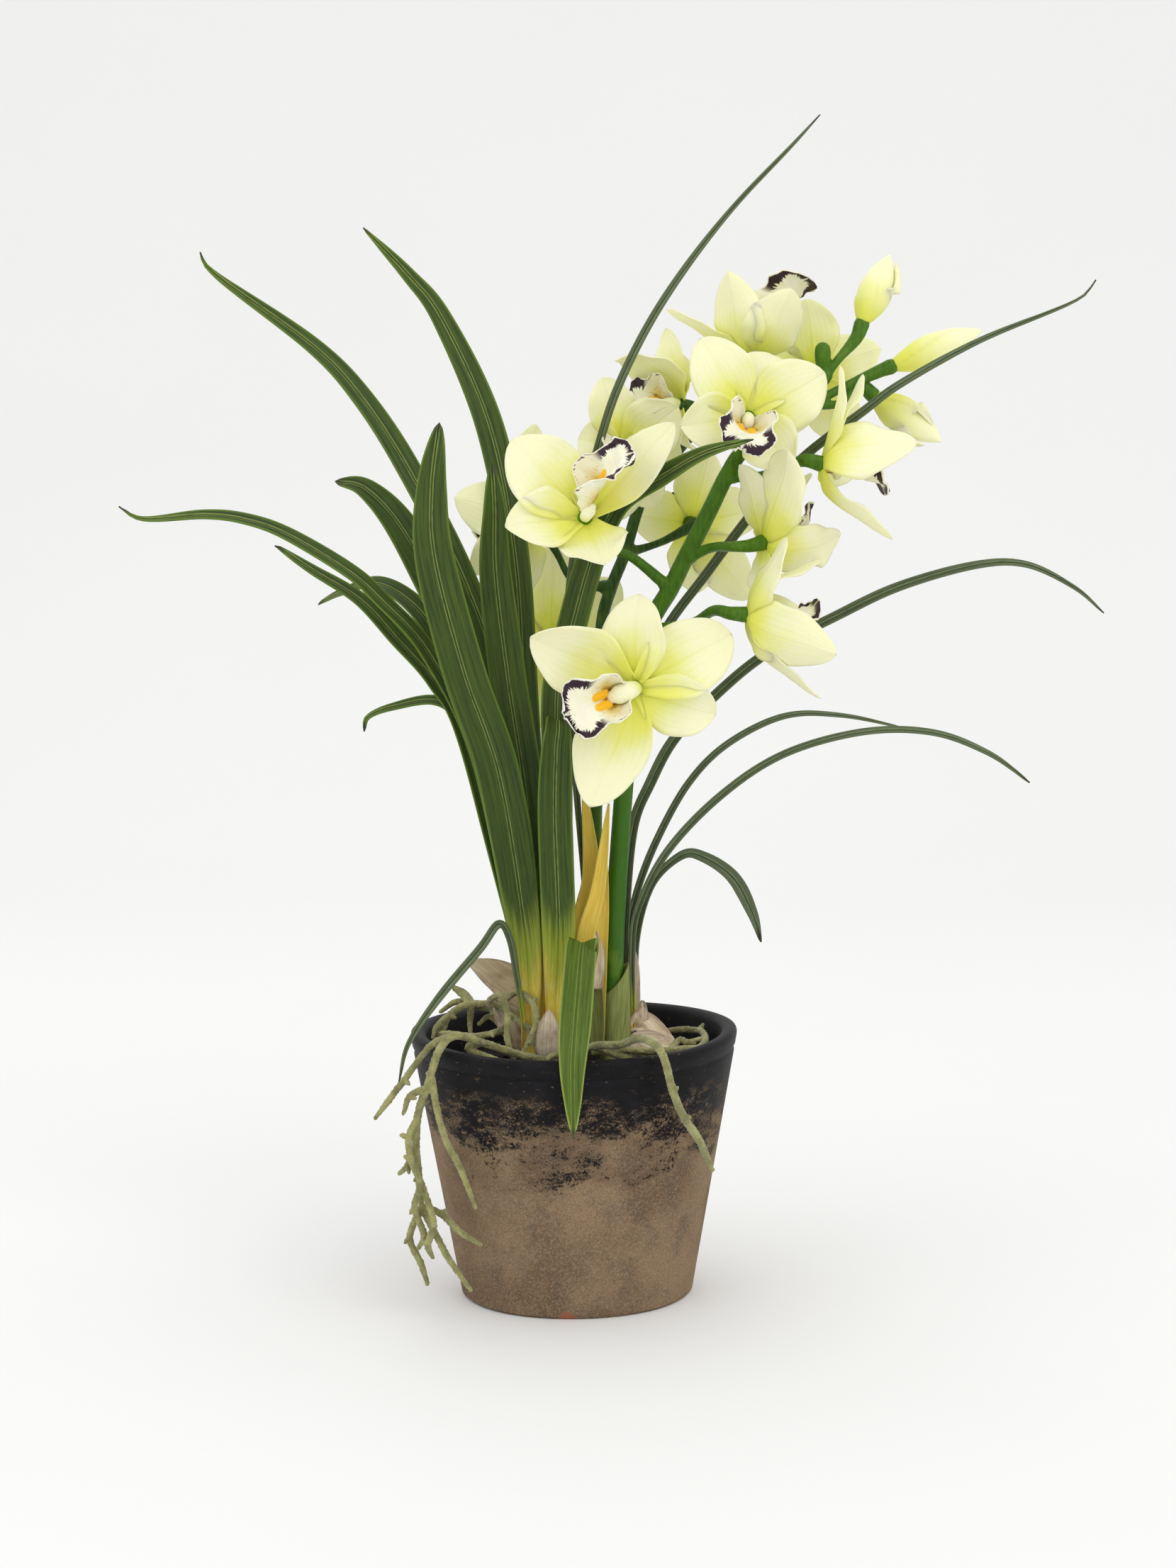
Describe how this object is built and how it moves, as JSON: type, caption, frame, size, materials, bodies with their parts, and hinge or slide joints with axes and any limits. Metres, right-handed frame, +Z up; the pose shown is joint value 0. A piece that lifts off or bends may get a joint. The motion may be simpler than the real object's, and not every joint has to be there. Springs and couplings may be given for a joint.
{
  "type": "potted orchid",
  "caption": "Cymbidium orchid with strap leaves, two flower stems with open blooms and buds, and aerial roots, in a tapered two-tone clay pot.",
  "frame": {"origin": "centre of the pot's foot, on the surface it stands on", "axes": "+Z up, -Y is the plant's front, +X to the right seen from the front"},
  "size_m": [0.4576, 0.1836, 0.5683],
  "materials": {
    "pot": "fired clay, black satin slip over rough brown stoneware",
    "mix": "crumbly, matte",
    "leaf": "satin leaf with a pale midrib",
    "stem": "satin green stem",
    "sheath": "satin pale yellow sheath",
    "bract": "dry papery bract",
    "petal": "soft velvet petal, pale yellow-green",
    "lip": "cream with a dark blotched margin",
    "root": "flocked olive green"
  },
  "bodies": {
    "root": {"bloom_01_lip": "lip", "bloom_01_petals": "petal", "bloom_02_lip": "lip", "bloom_02_petals": "petal", "bloom_03_lip": "lip", "bloom_03_petals": "petal", "bloom_04_lip": "lip", "bloom_04_petals": "petal", "bloom_05_lip": "lip", "bloom_05_petals": "petal", "bloom_06_lip": "lip", "bloom_06_petals": "petal", "bloom_07_lip": "lip", "bloom_07_petals": "petal", "bloom_08_lip": "lip", "bloom_08_petals": "petal", "bloom_09_lip": "lip", "bloom_09_petals": "petal", "bloom_10_lip": "lip", "bloom_10_petals": "petal", "bloom_11_lip": "lip", "bloom_11_petals": "petal", "bloom_12_lip": "lip", "bloom_12_petals": "petal", "bloom_13_lip": "lip", "bloom_13_petals": "petal", "bract_left_dry": "bract", "bract_right_dry": "bract", "bud_half_open": "petal", "bud_right": "petal", "bud_upper": "petal", "leaf_back_left_arching": "leaf", "leaf_back_left_upright": "leaf", "leaf_front_arching": "leaf", "leaf_front_hanging": "leaf", "leaf_front_left_tall": "leaf", "leaf_front_short": "leaf", "leaf_front_tall": "leaf", "leaf_left_arching": "leaf", "leaf_left_broad": "leaf", "leaf_left_drooping": "leaf", "leaf_left_long": "leaf", "leaf_left_low": "leaf", "leaf_left_middle": "leaf", "leaf_right_arching": "leaf", "leaf_right_drooping": "leaf", "leaf_right_long": "leaf", "leaf_right_low_back": "leaf", "leaf_right_low_front": "leaf", "leaf_tall_thin": "leaf", "pot": "pot", "potting_mix": "mix", "root_left_hanging": "root", "root_left_loops": "root", "root_right": "root", "sheath_green": "stem", "sheath_pale": "sheath", "sheath_yellow": "sheath", "spike_back": "stem", "spike_front": "stem"}
  },
  "joints": []
}
